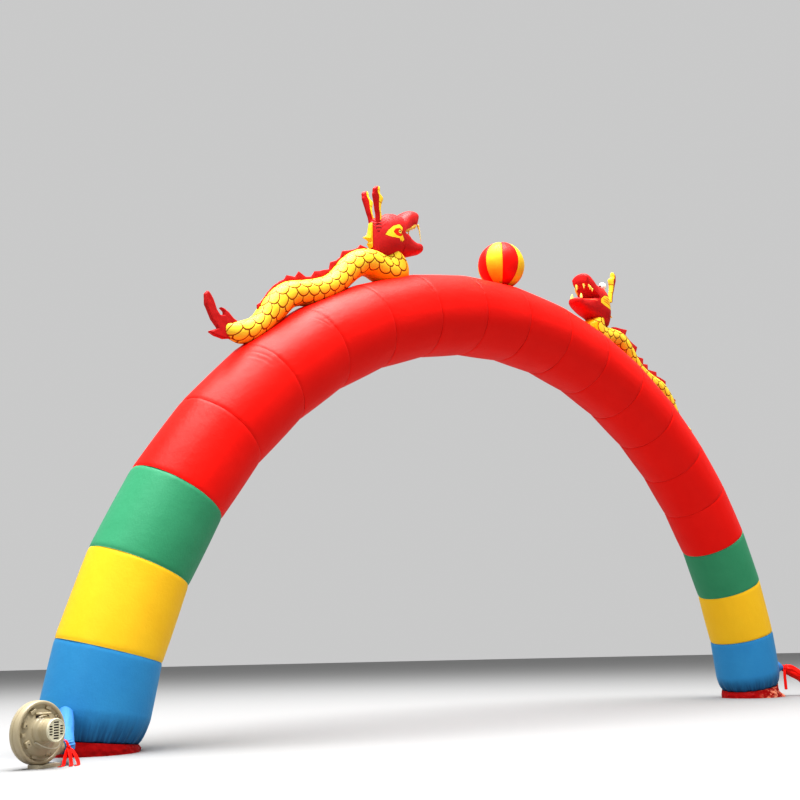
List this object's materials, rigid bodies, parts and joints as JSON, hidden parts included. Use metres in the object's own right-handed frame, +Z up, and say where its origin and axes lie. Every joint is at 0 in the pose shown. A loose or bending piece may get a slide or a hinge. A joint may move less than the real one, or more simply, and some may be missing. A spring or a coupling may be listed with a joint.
{
  "type": "inflatable arch",
  "caption": "Inflatable entrance arch of bright cloth panels on skirted legs, with dragons and a ball on its crown and a round blower feeding one leg",
  "frame": {"origin": "middle of the whole outline, on the ground", "axes": "+X from the leg with the blower to the other leg, +Y to the back of the arch, +Z up"},
  "size_m": [15.1655, 1.7748, 6.767],
  "materials": {
    "red_cloth": "coated nylon, slight sheen",
    "green_cloth": "coated nylon, slight sheen",
    "yellow_cloth": "coated nylon, slight sheen",
    "blue_cloth": "coated nylon, slight sheen",
    "pale_blue_cloth": "thin coated nylon",
    "orange_cloth": "coated nylon, slight sheen",
    "olive_plastic": "satin moulded plastic",
    "pale_plastic": "satin moulded plastic",
    "pale_rubber": "smooth sheath"
  },
  "bodies": {
    "root": {"ball_gore_1": "red_cloth", "ball_gore_2": "yellow_cloth", "ball_gore_3": "red_cloth", "ball_gore_4": "yellow_cloth", "ball_gore_5": "red_cloth", "ball_gore_6": "yellow_cloth", "ball_gore_7": "red_cloth", "ball_gore_8": "yellow_cloth", "blower_cowl": "olive_plastic", "blower_foot": "pale_plastic", "blower_grille": "pale_plastic", "blower_handle": "olive_plastic", "blower_housing": "olive_plastic", "blower_lead": "pale_rubber", "dragon_left_body": "yellow_cloth", "dragon_left_crest": "red_cloth", "dragon_left_head": "red_cloth", "dragon_left_horn_far": "yellow_cloth", "dragon_left_horn_near": "yellow_cloth", "dragon_left_jaw": "red_cloth", "dragon_left_ruff": "orange_cloth", "dragon_left_tail": "red_cloth", "dragon_right_body": "yellow_cloth", "dragon_right_crest": "red_cloth", "dragon_right_head": "red_cloth", "dragon_right_horn_far": "yellow_cloth", "dragon_right_horn_near": "yellow_cloth", "dragon_right_jaw": "red_cloth", "dragon_right_ruff": "orange_cloth", "dragon_right_tail": "red_cloth", "inflation_sleeve": "pale_blue_cloth", "panel_left_01": "red_cloth", "panel_left_02": "red_cloth", "panel_left_03": "red_cloth", "panel_left_04": "red_cloth", "panel_left_05": "red_cloth", "panel_left_06": "red_cloth", "panel_left_07": "red_cloth", "panel_left_08": "green_cloth", "panel_left_09": "yellow_cloth", "panel_left_10": "blue_cloth", "panel_right_01": "red_cloth", "panel_right_02": "red_cloth", "panel_right_03": "red_cloth", "panel_right_04": "red_cloth", "panel_right_05": "red_cloth", "panel_right_06": "red_cloth", "panel_right_07": "red_cloth", "panel_right_08": "green_cloth", "panel_right_09": "yellow_cloth", "panel_right_10": "blue_cloth", "skirt_left": "red_cloth", "skirt_right": "red_cloth", "sleeve_tie": "red_cloth", "spare_sleeve_end": "red_cloth", "spare_sleeve_stub": "pale_blue_cloth", "spare_tie": "red_cloth"}
  },
  "joints": []
}
